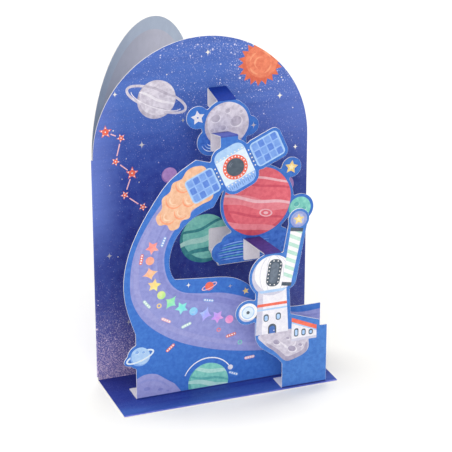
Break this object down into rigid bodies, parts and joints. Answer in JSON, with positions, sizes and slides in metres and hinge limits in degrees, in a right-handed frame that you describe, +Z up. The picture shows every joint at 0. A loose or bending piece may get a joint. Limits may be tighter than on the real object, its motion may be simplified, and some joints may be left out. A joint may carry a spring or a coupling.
{
  "type": "pop-up greeting card",
  "caption": "Stand-up pop-up card: arch-topped folded panels, fold-down base and die-cut layers held by folded struts.",
  "frame": {"origin": "centre of the base's underside", "axes": "+Z up, +X from the spine to the open edge, -Y towards the reader"},
  "size_m": [0.13, 0.1411, 0.2],
  "materials": {
    "night_sky_card": "matte printed card",
    "moon_card": "matte printed card",
    "planet_card": "matte printed card",
    "sweep_card": "matte printed card",
    "observatory_card": "matte printed card"
  },
  "bodies": {
    "root": {"folded_card": "night_sky_card", "moon_layer": "moon_card", "planet_layer": "planet_card", "sweep_layer": "sweep_card", "observatory_layer": "observatory_card"}
  },
  "joints": []
}
